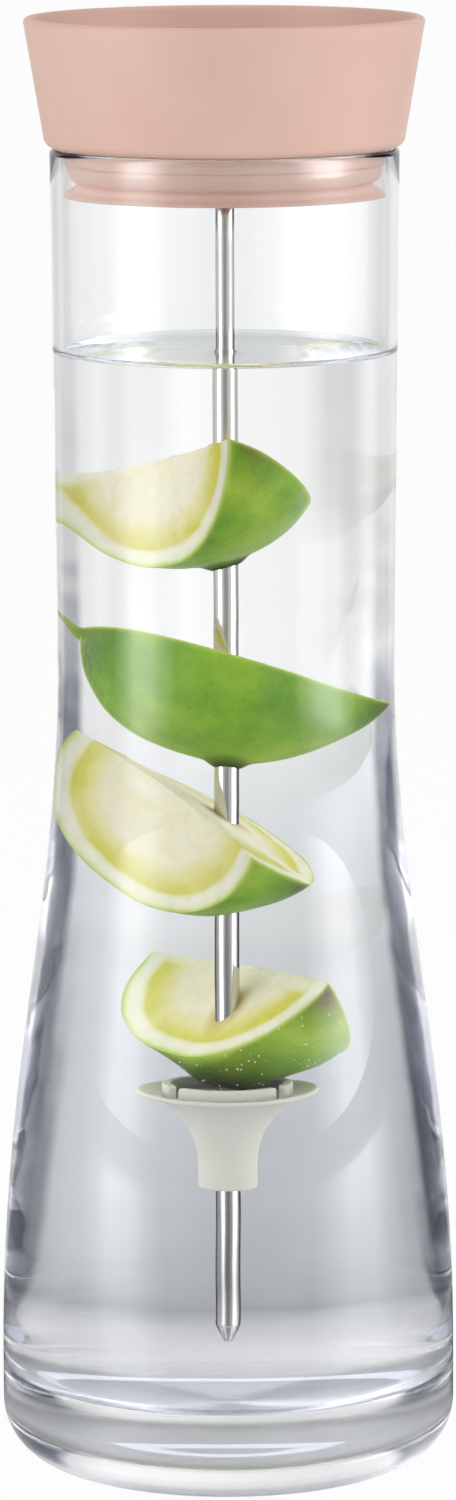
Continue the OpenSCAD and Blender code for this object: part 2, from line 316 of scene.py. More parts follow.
# water up to two thirds of the neck, drawn up where it meets the glass and the rod
def makeWater():
    w = water
    side = cavityOutline(gap=w["gap"], toRim=False)
    wallR = side[-1][0]
    surface = []
    for r in [wallR - d for d in w["wallRings"]] + list(w["rodRings"]):
        z = w["level"] + w["rise"] * math.exp(-(wallR - r) / w["riseWidth"])
        z += w["skewerRise"] * math.exp(-max(r - w["skewerR"], 0) / w["riseWidth"])
        surface.append((r, z))
    surface.append((0, surface[-1][1]))
    body = lathe("water", side + surface, [waterSide, waterSurface],
                 lambda i: 1 if i >= len(side) - 1 else 0, carafe["segments"])
    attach(body, "carafe")


makeCarafe()
makeWater()
print("glass and water made")


# Silicone rubber, compression moulded: matte, with a fine even grain from the mould, drawn 0.4 mm
# wide, and clouds of 22 mm. Under water its gloss nearly goes, so the index there is the ratio of the two
def siliconeMaterial(name, base, shade, ior=1.41):
    mat, tree, coord = newMaterial(name)
    cloud = addNode(tree, "TexNoise", {"Scale": 45, "Detail": 3, "Vector": coord})
    colour = addNode(tree, "ValToRGB", {"Fac": cloud}, stops=[(0.35, shade), (0.65, base)])
    fine = addNode(tree, "TexNoise", {"Scale": 2600, "Detail": 2, "Vector": coord})
    bump = addNode(tree, "Bump", {"Strength": 0.35, "Distance": 0.00006, "Height": fine})
    shader = addNode(tree, "BsdfPrincipled", {
        "Roughness": 0.52, "IOR": ior, "Sheen Weight": 0.1, "Sheen Roughness": 0.5, "Base Color": colour,
        "Normal": bump})
    return endMaterial(mat, shader)


pinkSilicone = siliconeMaterial("pinkSilicone", "#DEBBAD", "#DAB5A6")
# painted light: the sleeve is a lighter copy of the pink silicone, painted brighter for the light that
# reaches it inside the neck
paintedLightSleeveSilicone = siliconeMaterial("paintedLightSleeveSilicone", "#F3D0C3", "#EFC9BB")
greySilicone = siliconeMaterial("greySilicone", "#DDDCD4", "#D9D8CF", ior=1.06)
clearSilicone = siliconeMaterial("clearSilicone", "#E6E4DF", "#E0DEDA")

# the lid's pieces stand on the height of the collar's foot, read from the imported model
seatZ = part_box("pouring_collar")[0][2] / mm
collar = {"height": 26.8, "rimR": 41.6, "footR": 37.6, "rimT": 2, "rootT": 3.6, "web": 3, "round": 2.2,
          "fillet": 1.2, "boreR": 29.55}
seal = {"depth": 10, "band": 3.6, "lip": 1, "sleeve": 1.4, "waist": 1.8, "r": 33.6, "boreR": 29.55,
        "sweepSteps": 12, "bandInset": 0.5, "underWeb": 0.02,
        "lipEdge": [(-0.4, 0), (-0.12, 0.1), (0, 0.3), (-0.1, 0.55)], "waistEdge": [(0.5, -0.1), (0, 0.2)],
        "bandEdge": [(-0.45, 0.1), (-0.1, 0.25), (0, 0.55)], "topEdge": [(0, -0.3), (-0.2, -0.02)]}


def makeCollar():
    c = collar
    rimZ = seatZ + c["height"]
    edge = c["rimT"] / 2
    outline = [(c["boreR"], seatZ)]
    outline += arc(c["footR"] - c["round"], seatZ + c["round"], c["round"], -90, 0, 12)
    outline += straight((c["footR"], seatZ + c["round"]), (c["rimR"], rimZ - edge), 10)
    outline += arc(c["rimR"] - edge, rimZ - edge, edge, 0, 180, 12)
    rimIn = c["rimR"] - c["rimT"]
    innerFoot = c["footR"] - c["rootT"]
    filletZ = seatZ + c["web"] + c["fillet"]
    outline += straight((rimIn, rimZ - edge), (innerFoot + c["fillet"] / 2, filletZ), 8)
    outline += arc(innerFoot - c["fillet"] / 2, filletZ, c["fillet"], 0, -90, 6)
    outline += [(c["boreR"], seatZ + c["web"])]
    piece = lathe("collar", outline, [pinkSilicone], closed=True)
    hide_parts("pouring_collar")
    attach(piece, "lid")


def makeSeal():
    s = seal
    waistR = s["boreR"] + s["sleeve"]
    plugZ = seatZ - s["depth"]
    bandZ = seatZ - s["band"]
    waistTop = plugZ + s["lip"] + s["waist"]
    outline = [(s["boreR"], plugZ)] + softEdge(s["r"], plugZ, s["lipEdge"])
    outline += softEdge(waistR, plugZ + s["lip"], s["waistEdge"])
    for i in range(s["sweepSteps"] + 1):
        a = math.radians(90 * i / s["sweepSteps"])
        outline.append((waistR + (s["r"] - s["bandInset"] - waistR) * math.sin(a),
                        waistTop + (bandZ - waistTop) * (1 - math.cos(a))))
    outline += softEdge(s["r"], bandZ, s["bandEdge"]) + softEdge(s["r"], seatZ, s["topEdge"])
    outline += [(s["boreR"], seatZ - s["underWeb"])]
    # painted light: the sleeve wears the brightened copy of the pink silicone
    piece = lathe("neck_sleeve", outline, [paintedLightSleeveSilicone], closed=True)
    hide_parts("neck_seal")
    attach(piece, "lid")


makeCollar()
makeSeal()
print("collar and sleeve made")


# Stainless steel: bright, with fine lines left along the way that it was drawn or brushed. Lines are
# so many to a metre along X, Y and Z, coarser than they are
def steelMaterial(name, code, rough, lines):
    mat, tree, coord = newMaterial(name)
    stretch = addNode(tree, "Mapping", {"Scale": lines, "Vector": coord})
    scratch = addNode(tree, "TexNoise", {"Scale": 1, "Detail": 2, "Vector": stretch})
    roughness = addNode(tree, "MapRange", {"To Min": rough * 0.8, "To Max": rough * 1.25, "Value": scratch})
    shader = addNode(tree, "BsdfPrincipled", {"Base Color": code, "Metallic": 1.0, "Roughness": roughness})
    return endMaterial(mat, shader)


polishedRod = steelMaterial("polishedRod", "#D9D6D3", 0.12, (9000, 9000, 60))
brushedPlate = steelMaterial("brushedPlate", "#CFCFD0", 0.28, (60, 5000, 5000))
turnedPin = steelMaterial("turnedPin", "#C9C9CB", 0.22, (6000, 400, 400))

skewer = {"r": 2.0, "tipL": 3.6, "tipR": 0.65, "segments": 64, "tipEdge": [(-0.1, 0), (0, 0.1)],
          "coneGap": 0.2, "shoulderEdge": [(-0.04, -0.12), (0, 0.2)], "topEdge": [(0, -0.3), (-0.3, 0)]}


def makeSkewer():
    s = skewer
    low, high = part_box("fruit_skewer")
    tip, top = low[2] / mm, high[2] / mm
    shoulder = tip + s["tipL"]
    outline = [(0, tip)] + softEdge(s["tipR"], tip, s["tipEdge"])
    outline += straight(outline[-1], (s["r"], shoulder - s["coneGap"]), 5)
    outline += softEdge(s["r"], shoulder, s["shoulderEdge"])
    topEdge = softEdge(s["r"], top, s["topEdge"])
    outline += straight(outline[-1], topEdge[0], 12) + topEdge + [(0, top)]
    piece = lathe("skewer_rod", outline, [polishedRod], segments=s["segments"])
    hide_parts("fruit_skewer")
    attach(piece, "lid")


makeSkewer()

stopper = {"height": 20.8, "r": 14.6, "stemR": 4.7, "stemH": 5, "edge": 0.9, "power": 1.85, "bowl": 1.2,
           "ringR": 10.4, "ringT": 1.6, "ringH": 2.7, "ringRound": 0.35, "ringFoot": 0.2, "slots": 3,
           "slotW": 2.2, "boreR": 2.05, "segments": 128, "flareSteps": 32, "flareInset": 0.15,
           "stemEdge": [(-0.4, 0), (-0.1, 0.15), (0, 0.5)],
           "rimEdge": [(0, -0.54), (-0.1, -0.15), (-0.35, 0), (-0.9, -0.08)]}
# each end of a ring's arc is rounded: its length, how far it draws in and drops, and its points
arcEnd = {"length": 0.8, "drawIn": 0.55, "drop": 0.35, "crowding": 1.4, "steps": 40}
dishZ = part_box("fruit_stopper")[0][2] / mm + stopper["height"]
bowlZ = dishZ - stopper["bowl"]


# Geometry Nodes tree with the named inputs that it is given, each with its default
def newTree(name, sizes):
    tree = bpy.data.node_groups.new(name, "GeometryNodeTree")
    tree.interface.new_socket("Geometry", in_out="INPUT", socket_type="NodeSocketGeometry")
    for label, value in sizes.items():
        kind = "NodeSocketInt" if isinstance(value, int) else "NodeSocketFloat"
        tree.interface.new_socket(label, in_out="INPUT", socket_type=kind).default_value = value
    tree.interface.new_socket("Geometry", in_out="OUTPUT", socket_type="NodeSocketGeometry")
    return tree, addNode(tree, "NodeGroupInput").outputs


# makes the tree's instances real and gives them their material, as its last step
def endTree(tree, placed, mat):
    real = addNode(tree, "GeometryNodeRealizeInstances", {"Geometry": placed})
    coat = addNode(tree, "GeometryNodeSetMaterial", {"Material": mat, "Geometry": real})
    addNode(tree, "NodeGroupOutput", {"Geometry": coat})
    return tree


# runs a tree on an object and gives back the plain mesh that it makes
def bakeTree(obj, tree, sizes, mat):
    modifier = obj.modifiers.new(tree.name, "NODES")
    modifier.node_group = tree
    for item in tree.interface.items_tree:
        if item.item_type == "SOCKET" and item.in_out == "INPUT" and item.name in sizes:
            modifier[item.identifier] = sizes[item.name]
    evaluated = obj.evaluated_get(bpy.context.evaluated_depsgraph_get())
    mesh = bpy.data.meshes.new_from_object(evaluated)
    obj.modifiers.remove(modifier)
    mesh.materials.clear()
    mesh.materials.append(mat)
    return mesh


# one arc of the raised ring, repeated about the axis with a slot between each pair
def ringTree(sizes):
    tree, given = newTree("slottedRing", sizes)
    step = addMath(tree, "DIVIDE", 2 * math.pi, given["Count"])
    points = addNode(tree, "GeometryNodePoints", {"Count": given["Count"]})
    index = addNode(tree, "GeometryNodeInputIndex")
    angle = addMath(tree, "MULTIPLY_ADD", index, step, given["Turn"])
    turn = addNode(tree, "CombineXYZ", {"Z": angle})
    placed = addNode(tree, "GeometryNodeInstanceOnPoints", {
        "Points": points, "Instance": given["Geometry"], "Rotation": turn})
    return endTree(tree, placed, greySilicone)


def ringArc():
    s = stopper
    bm = bmesh.new()
    inR, outR, edge = s["ringR"] - s["ringT"], s["ringR"], s["ringRound"]
    midR = (inR + outR) / 2
    low, high = bowlZ - s["ringFoot"], bowlZ + s["ringH"]
    section = [(inR, low), (outR, low)] + arc(outR - edge, high - edge, edge, 0, 90, 4)
    section += arc(inR + edge, high - edge, edge, 90, 180, 4)
    half = math.pi / s["slots"] - s["slotW"] / 2 / s["ringR"]
    rows = []
    for k in range(arcEnd["steps"] + 1):
        share = -1 + 2 * k / arcEnd["steps"]
        a = half * math.copysign(1 - (1 - abs(share)) ** arcEnd["crowding"], share)
        nearEnd = (half - abs(a)) * s["ringR"]
        pull = 1 - arcEnd["drawIn"] * max(0.0, 1 - nearEnd / arcEnd["length"]) ** 2
        rows.append([bm.verts.new(((midR + (r - midR) * pull) * math.cos(a) * mm,
                                   (midR + (r - midR) * pull) * math.sin(a) * mm,
                                   (low + (z - low) * (1 - (1 - pull) * arcEnd["drop"])) * mm))
                     for r, z in section])
    bm.faces.new(rows[0])
    bm.faces.new(rows[-1][::-1])
    for a, b in zip(rows, rows[1:]):
        for i in range(len(section)):
            j = (i + 1) % len(section)
            bm.faces.new((a[i], b[i], b[j], a[j])).smooth = True
    bmesh.ops.recalc_face_normals(bm, faces=bm.faces)
    return toObject("ring_arc", bm, [greySilicone])


def makeStopper():
    s = stopper
    z0 = dishZ - s["height"]
    flareH = s["height"] - s["stemH"] - s["edge"]
    flareR = s["r"] - s["flareInset"] - s["stemR"]
    outline = [(s["boreR"], z0)] + softEdge(s["stemR"], z0, s["stemEdge"])
    for i in range(s["flareSteps"] + 1):
        t = i / s["flareSteps"]
        outline.append((s["stemR"] + flareR * (1 - (1 - t ** s["power"]) ** (1 / s["power"])),
                        z0 + s["stemH"] + flareH * t))
    outline += softEdge(s["r"], dishZ, s["rimEdge"])
    bowlR = s["ringR"] + s["edge"]
    outline += straight(outline[-1], (bowlR, bowlZ), 4) + [(bowlR, bowlZ)]
    outline += straight((bowlR, bowlZ), (s["boreR"], bowlZ), 6) + [(s["boreR"], bowlZ)]
    piece = lathe("stopper_body", outline, [greySilicone], segments=s["segments"], closed=True)
    oneArc = ringArc()
    # the slots lie at the back and at 120 degrees to both sides of it
    sizes = {"Count": s["slots"], "Turn": math.pi / 2 + math.pi / s["slots"]}
    ring = bakeTree(oneArc, ringTree(sizes), sizes, greySilicone)
    bm = bmesh.new()
    bm.from_mesh(piece.data)
    bm.from_mesh(ring)
    bm.to_mesh(piece.data)
    bm.free()
    bpy.data.objects.remove(oneArc)
    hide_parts("fruit_stopper")
    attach(piece, "stopper")


makeStopper()
print("skewer and stopper made")


# Moulded polypropylene of the lid's insert: satin, a shade darker than the silicone. Its grain is
# drawn 0.6 mm wide, coarser than it is
def plasticMaterial(name, base, shade):
    mat, tree, coord = newMaterial(name)
    cloud = addNode(tree, "TexNoise", {"Scale": 60, "Detail": 2, "Vector": coord})
    colour = addNode(tree, "ValToRGB", {"Fac": cloud}, stops=[(0.3, shade), (0.7, base)])
    grain = addNode(tree, "TexNoise", {"Scale": 1800, "Detail": 1, "Vector": coord})
    bump = addNode(tree, "Bump", {"Strength": 0.25, "Distance": 0.00004, "Height": grain})
    shader = addNode(tree, "BsdfPrincipled", {
        "Roughness": 0.42, "IOR": 1.49, "Base Color": colour, "Normal": bump})
    return endMaterial(mat, shader)


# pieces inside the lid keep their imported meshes
coats = {"lid_core": plasticMaterial("pinkPlastic", "#D9B0A0", "#D4A998"), "pour_flap": brushedPlate,
         "flap_hinge_pin": turnedPin, "flap_gasket": clearSilicone}
for node, coat in coats.items():
    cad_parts[node].data.materials.clear()
    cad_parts[node].data.materials.append(coat)

# Limes: a waxy green rind with oil glands, white pith under it and wet pale flesh. Each wedge is a
# lime along X with two cuts, placed and turned as its solid is. Waves are a height and a count per mm,
# and each lime's start some steps further on
lime = {"length": 54, "r": 22, "stemPower": 2.6, "tipPower": 0.7, "gap": 1.5, "pithT": 3.4, "ringGap": 0.3,
        "cutGrid": 1.3, "bulge": 0.45, "bulgeWidth": 4, "coreWidth": 6, "sacDepth": 1.0, "ridge": 1e-2,
        "skinWave": (0.28, 0.16), "sacWave": (0.25, 0.55), "waveSteps": (7, 5), "endLean": 0.2,
        "edgeFlat": 0.5, "rodShadePower": 0.45, "ringSteps": 112, "segments": 144, "profileSteps": 240,
        "sharpAngle": 0.6, "weld": 1e-4}
# place across in shares of the radius and up in shares of the free height, length as a share, heading
# and tilt in degrees, each cut's roll, skew and distance, and the lip's height and width at the rod
wedgePlans = [
    {"side": (-0.31, -0.05), "rise": 0.671, "long": 1.07, "turn": (-60, 14),
     "cuts": ((176, 6, 0.15), (61, -3, -0.05)), "lip": (1.5, 1.3)},
    {"side": (0.12, 0.37), "rise": 0.405, "long": 0.91, "turn": (-1, -19),
     "cuts": ((76, -1, -0.05), (-25, 0, 0.04)), "lip": (1.2, 1.3),
     "stalk": [(-23.2, 0.5, -2.4, 1.5), (-25.2, 0.3, -1.9, 1.15), (-27.4, 0, -0.6, 0.7),
               (-29.8, 0, 0.3, 0.45), (-30.8, 0, 0.8, 0.1)]},
    {"side": (-0.24, -0.19), "rise": 0.224, "long": 0.97, "turn": (-21, -31),
     "cuts": ((189, 26, 0.21), (78, -6, 0.05)), "lip": (1.2, 1.3)},
    {"side": (0.21, 0.3), "rise": 0.0, "long": 0.86, "turn": (-55, -1.5),
     "cuts": ((140, 0, 0.06), (31, 2, 0.01)), "lip": (3.4, 5.0)},
]


# Lime rind: waxed skin over oil glands about a millimetre apart, which dimple it. Greener where it
# had sun, yellower at the stem end, with a dry brown point at the tip. Index as seen under water
def rindMaterial():
    mat, tree, coord = newMaterial("limeRind")
    cloud = addNode(tree, "TexNoise", {"Scale": 60, "Detail": 4, "Roughness": 0.55, "Vector": coord})
    skin = addNode(tree, "ValToRGB", {"Fac": cloud}, stops=[
        (0.32, "#6AA025"), (0.5, "#8BBB31"), (0.68, "#B0D044")])
    # darker specks where single glands show through
    speck = addNode(tree, "TexVoronoi", {"Scale": 620, "Vector": coord})
    speckShade = addNode(tree, "ValToRGB", {"Fac": speck}, stops=[(0.0, "#B9C98F"), (0.28, "#FFFFFF")])
    spotted = mixColour(tree, 0.5, skin, speckShade, "MULTIPLY")
    along = addNode(tree, "Attribute", attribute_name="along").outputs["Fac"]
    ends = addNode(tree, "ValToRGB", {"Fac": along}, stops=[
        (0.0, "#C9C27A"), (0.035, "#B5C65E"), (0.12, "#FFFFFF"), (0.9, "#FFFFFF"), (0.965, "#C6D39B"),
        (0.985, "#C79A5E"), (1.0, "#8F6A3E")])
    tinted = mixColour(tree, 1.0, spotted, ends, "MULTIPLY")
    # painted shade: the skin is painted dark round the rod under the lime, where shade falls between it and
    # the stopper
    rodShade = addNode(tree, "Attribute", attribute_name="rodShade").outputs["Fac"]
    shadedNearRod = mixColour(tree, rodShade, tinted, "#3A2F14", "MULTIPLY")
    # a cut edge shows a bright line where the knife opened the glands
    edge = addNode(tree, "Attribute", attribute_name="fromCut").outputs["Fac"]
    edgeFac = addNode(tree, "ValToRGB", {"Fac": edge}, stops=[
        (0.0, "#FFFFFF"), (0.05, "#808080"), (0.11, "#000000")])
    colour = mixColour(tree, edgeFac, shadedNearRod, "#C6DB6C")
    gland = addNode(tree, "TexVoronoi", {"Scale": 950, "Vector": coord})
    swell = addNode(tree, "TexNoise", {"Scale": 260, "Detail": 3, "Vector": coord})
    height = addMath(tree, "ADD", gland, swell)
    bump = addNode(tree, "Bump", {"Strength": 0.45, "Distance": 0.0003, "Height": height})
    shader = addNode(tree, "BsdfPrincipled", {
        "Roughness": 0.3, "IOR": 1.25, "Base Color": colour, "Normal": bump})
    return endMaterial(mat, shader)


# Lime flesh: juice sacs drawn out from the core to the rind, wet, pale in the middle and more
# yellow towards the white pith. Distances come as attributes, in centimetres. Index under water
def fleshMaterial():
    mat, tree, coord = newMaterial("limeFlesh")
    depth = addNode(tree, "Attribute", attribute_name="fromRind").outputs["Fac"]
    core = addNode(tree, "Attribute", attribute_name="fromCore").outputs["Fac"]
    wobble = addNode(tree, "TexNoise", {"Scale": 170, "Detail": 3, "Vector": coord})
    total = addMath(tree, "MULTIPLY_ADD", wobble, 0.09, depth)
    shifted = addMath(tree, "SUBTRACT", total, 0.045)
    ring = addNode(tree, "ValToRGB", {"Fac": shifted}, stops=[
        (0.0, "#A9C653"), (0.05, "#CFDD7C"), (0.1, "#E6E9CC"), (0.2, "#EEEEDE"), (0.31, "#ECEBD0"),
        (0.4, "#D6D246"), (0.56, "#DAD562"), (0.8, "#E8E2A6"), (1.0, "#EFEAD0")])
    # paler and deeper patches, a centimetre or so wide
    patch = addNode(tree, "TexNoise", {"Scale": 75, "Detail": 1, "Vector": coord})
    patchFac = addNode(tree, "ValToRGB", {"Fac": patch}, stops=[(0.38, "#000000"), (0.62, "#8A8A8A")])
    patched = mixColour(tree, patchFac, ring, "#FBF8E6")
    # the white core, wider and looser than the pith
    coreNoise = addMath(tree, "MULTIPLY_ADD", wobble, 0.16, core)
    coreFac = addNode(tree, "ValToRGB", {"Fac": coreNoise}, stops=[(0.2, "#FFFFFF"), (0.36, "#000000")])
    withCore = mixColour(tree, coreFac, patched, "#F3F2E0")
    # juice sacs, 3 mm wide, as soft lighter and darker streaks
    sac = addNode(tree, "TexNoise", {"Scale": 330, "Detail": 2, "Distortion": 0.6, "Vector": coord})
    sacShade = addNode(tree, "ValToRGB", {"Fac": sac}, stops=[(0.3, "#F0EDCB"), (0.6, "#FFFFFF")])
    soft = mixColour(tree, 0.4, withCore, sacShade, "MULTIPLY")
    # bruised and juicy round the rod
    place = addNode(tree, "SeparateXYZ", {"Vector": coord})
    flat = addNode(tree, "CombineXYZ", {"X": place.outputs["X"], "Y": place.outputs["Y"]})
    rodGap = addNode(tree, "VectorMath", {0: flat}, operation="LENGTH")
    rodFac = addNode(tree, "MapRange", {
        "From Min": 0.0022, "From Max": 0.0042, "To Min": 0.75, "To Max": 0.0, "Value": rodGap})
    colour = mixColour(tree, rodFac, soft, "#C9B25C")
    bump = addNode(tree, "Bump", {"Strength": 0.35, "Distance": 0.0004, "Height": sac})
    shader = addNode(tree, "BsdfPrincipled", {
        "Roughness": 0.3, "IOR": 1.04, "Base Color": colour, "Normal": bump})
    return endMaterial(mat, shader)


limeRind = rindMaterial()
limeFlesh = fleshMaterial()


def limeRadius(t):
    if t < 0:
        return lime["r"] * max(1 - (-t) ** lime["stemPower"], 0) ** 0.5
    return lime["r"] * max(1 - t * t, 0) ** lime["tipPower"]


def wedgePlacement(plan):
    lowest = dishZ + lime["gap"] + lime["r"]
    span = seatZ - seal["depth"] - lowest
    place = Vector((lime["r"] * plan["side"][0], lime["r"] * plan["side"][1], lowest + span * plan["rise"]))
    heading, tilt = (math.radians(a) for a in plan["turn"])
    return Matrix.Translation(place) @ Matrix.Rotation(heading, 4, "Z") @ Matrix.Rotation(-tilt, 4, "Y")


def cutNormal(roll, skew):
    turn = Matrix.Rotation(math.radians(roll), 3, "X") @ Matrix.Rotation(math.radians(skew), 3, "Z")
    return turn @ Vector((0, 1, 0))


# whole lime as a closed surface, in millimetres, along X
def limeBody(bm, half):
    steps, segments = lime["ringSteps"], lime["segments"]
    rings = []
    for i in range(steps + 1):
        t = -math.cos(math.pi * i / steps)
        r = limeRadius(t)
        if i in (0, steps):
            rings.append([bm.verts.new((t * half, 0, 0))])
        else:
            rings.append([bm.verts.new((t * half, r * math.cos(a), r * math.sin(a)))
                          for a in (2 * math.pi * k / segments for k in range(segments))])
    for low, high in zip(rings, rings[1:]):
        bandFaces(bm, low, high, segments)


def cutLime(bm, normal, away):
    everything = bm.verts[:] + bm.edges[:] + bm.faces[:]
    cut = bmesh.ops.bisect_plane(bm, geom=everything, dist=lime["weld"], plane_co=normal * away,
                                 plane_no=normal, clear_outer=True)
    loop = [e for e in cut["geom_cut"] if isinstance(e, bmesh.types.BMEdge)]
    for face in bmesh.ops.edgeloop_fill(bm, edges=loop)["faces"]:
        face.material_index = 1


# divides a cut face into a grid, so that its pulp can be raised
def gridCut(bm, normal, away, half, onPlane=1e-3, level=0.999):
    def onCut(face):
        return (face.material_index == 1 and abs(face.calc_center_median().dot(normal) - away) < onPlane
                and abs(face.normal.dot(normal)) > level)
    across = normal.cross(Vector((1, 0, 0))).normalized()
    lengthwise = across.cross(normal).normalized()
    for direction, reach in ((lengthwise, half), (across, lime["r"])):
        count = int(2 * reach / lime["cutGrid"])
        for k in range(1, count):
            faces = [f for f in bm.faces if onCut(f)]
            geom = faces + list({e for f in faces for e in f.edges})
            geom += list({v for f in faces for v in f.verts})
            bmesh.ops.bisect_plane(bm, geom=geom, dist=lime["weld"], plane_no=direction,
                                   plane_co=normal * away + direction * (-reach + 2 * reach * k / count))


# depth of a point under the rind, from the nearest of some points of the lime's profile
def depthBelow(profile, x, rho):
    return math.sqrt(min((x - px) ** 2 + (rho - pr) ** 2 for px, pr in profile))


# a strip of stalk left on the stem end, as flattened rings through points and radii
def addStalk(bm, rings, marks, sides=10, flatness=0.5):
    last = None
    for x, y, z, r in rings:
        ring = []
        for k in range(sides):
            a = 2 * math.pi * k / sides
            v = bm.verts.new((x, y + flatness * r * math.cos(a), z + r * math.sin(a)))
            for layer, level in marks:
                v[layer] = level
            ring.append(v)
        if last:
            bandFaces(bm, last, ring, sides)
        else:
            bm.faces.new(ring)
        last = ring
    bm.faces.new(last[::-1])


# the stopper's ring has pressed a shallow groove into the piece that rests on it
def pressOnRing(bm):
    s = stopper
    for v in bm.verts:
        fromRing = math.hypot(v.co.x, v.co.y) - s["ringR"] + s["ringT"] / 2
        if abs(fromRing) < s["ringT"] / 2 + lime["ringGap"]:
            v.co.z = max(v.co.z, bowlZ + s["ringH"] + lime["ringGap"])
        elif fromRing < 0:
            v.co.z = max(v.co.z, bowlZ + lime["ringGap"])


def makeWedge(index, plan):
    half = lime["length"] * plan["long"] / 2
    bm = bmesh.new()
    limeBody(bm, half)
    cuts = [(cutNormal(roll, skew), lime["r"] * share) for roll, skew, share in plan["cuts"]]
    for normal, away in cuts:
        cutLime(bm, normal, away)
    bm.normal_update()
    for normal, away in cuts:
        gridCut(bm, normal, away, half)
    fromRind, fromCore, fromCut, along, rodShade = [
        bm.verts.layers.float.new(name) for name in ("fromRind", "fromCore", "fromCut", "along", "rodShade")]
    profile = [(t * half, limeRadius(t)) for t in (
        -math.cos(math.pi * i / lime["profileSteps"]) for i in range(lime["profileSteps"] + 1))]
    placed = wedgePlacement(plan)
    rodStart = placed.inverted() @ Vector((0, 0, 0))
    rodAlong = placed.to_3x3().inverted() @ Vector((0, 0, 1))
    moves = []
    skinStep, sacStep = lime["waveSteps"]
    for v in bm.verts:
        rho = math.hypot(v.co.y, v.co.z)
        onRind = any(f.material_index == 0 for f in v.link_faces)
        inside = [-(v.co.dot(n) - away) for n, away in cuts]
        # the attributes are in centimetres
        v[fromRind] = 0.0 if onRind else depthBelow(profile, v.co.x, rho) / 10
        v[fromCore] = rho / 10
        v[fromCut] = max(min(inside), 0.0) / 10
        v[along] = (v.co.x / half + 1) / 2
        rodOffset = (v.co - rodStart) - rodAlong * (v.co - rodStart).dot(rodAlong)
        if onRind and min(inside) > lime["edgeFlat"]:
            # low waves of the skin, and a lip where the rod came out underneath, where the skin gets painted
            # shade
            wave, perMm = lime["skinWave"]
            outR = max(rho, 1e-3)
            outward = Vector((lime["endLean"] * v.co.x / half, v.co.y / outR, v.co.z / outR))
            move = outward * wave * noise.noise(v.co * perMm + Vector((index * skinStep, 0, 0)))
            if outward.dot(rodAlong) < 0:
                lipH, lipW = plan["lip"]
                near = math.exp(-(max(rodOffset.length - skewer["r"], 0) / lipW) ** 2)
                move -= rodAlong * lipH * near
                # painted shade: how dark the skin is painted near the rod underneath
                v[rodShade] = near ** lime["rodShadePower"]
            moves.append((v, move))
        elif not onRind and max(inside) >= lime["ridge"] and v[fromRind] * 10 > lime["sacDepth"]:
            # the flesh swells out of the cut, and its sacs make it uneven
            wave, perMm = lime["sacWave"]
            face = max(cuts, key=lambda c: v.co.dot(c[0]) - c[1])
            rise = min(max(v[fromRind] * 10 - lime["pithT"], 0) / lime["bulgeWidth"], 1) * lime["bulge"]
            sacs = wave * noise.noise(v.co * perMm + Vector((0, index * sacStep, 0)))
            moves.append((v, face[0] * (rise * min(rho / lime["coreWidth"], 1) + sacs)))
    for v, move in moves:
        v.co += move
    if "stalk" in plan:
        addStalk(bm, plan["stalk"], ((fromCut, 0.03), (along, 0.2)))
    for edge in bm.edges:
        kinds = {f.material_index for f in edge.link_faces}
        edge.smooth = len(kinds) == 1 and (
            len(edge.link_faces) < 2 or edge.calc_face_angle(0) < lime["sharpAngle"])
    for face in bm.faces:
        face.smooth = True
    bmesh.ops.transform(bm, matrix=placed, verts=bm.verts)
    pressOnRing(bm)
    bmesh.ops.scale(bm, vec=(mm, mm, mm), verts=bm.verts)
    bmesh.ops.recalc_face_normals(bm, faces=bm.faces)
    piece = toObject("lime_piece_%d" % (index + 1), bm, [limeRind, limeFlesh])
    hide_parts("lime_wedge_%d" % (index + 1))
    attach(piece, "lid")
    return piece


limes = [makeWedge(index, plan) for index, plan in enumerate(wedgePlans)]


# Air clings to the underside of the lowest lime in bubbles of a few tenths of a millimetre. Their walls
# mirror the light around them; here that is a painted reflection, drawn as opaque white beads
def beadMaterial():
    mat, tree, coord = newMaterial("airBubble")
    # painted reflection: a white colour in place of the light that a bubble's wall mirrors
    shader = addNode(tree, "BsdfPrincipled", {"Base Color": "#FBFCFC", "Roughness": 0.1, "IOR": 1.33})
    return endMaterial(mat, shader)


whiteBead = beadMaterial()
# radius in metres, bubbles to a square metre of skin that faces down, and their sizes as shares
bubble = {"Radius": 0.15 * mm, "Density": 130000.0, "Seed": 4, "Facing": -0.35, "Smallest": 0.45,
          "Largest": 1.25, "Rounds": 2}


def bubbleTree():
    tree, given = newTree("bubbles", bubble)
    normal = addNode(tree, "GeometryNodeInputNormal")
    facing = addNode(tree, "SeparateXYZ", {"Vector": normal}).outputs["Z"]
    below = addMath(tree, "LESS_THAN", facing, given["Facing"])
    spread = addNode(tree, "GeometryNodeDistributePointsOnFaces", {
        "Mesh": given["Geometry"], "Selection": below, "Density": given["Density"], "Seed": given["Seed"]})
    ball = addNode(tree, "GeometryNodeMeshIcoSphere", {
        "Radius": given["Radius"], "Subdivisions": given["Rounds"]})
    size = addNode(tree, "FunctionNodeRandomValue", {
        2: given["Smallest"], 3: given["Largest"], "Seed": given["Seed"]})
    placed = addNode(tree, "GeometryNodeInstanceOnPoints", {
        "Points": spread, "Instance": ball, "Scale": size})
    return endTree(tree, placed, whiteBead)


def makeBubbles():
    mesh = bakeTree(limes[-1], bubbleTree(), bubble, whiteBead)
    for face in mesh.polygons:
        face.use_smooth = True
    beads = addObject("air_bubbles", mesh)
    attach(beads, "lid")
    return len(mesh.polygons)


print("limes made, bubbles of %d faces" % makeBubbles())

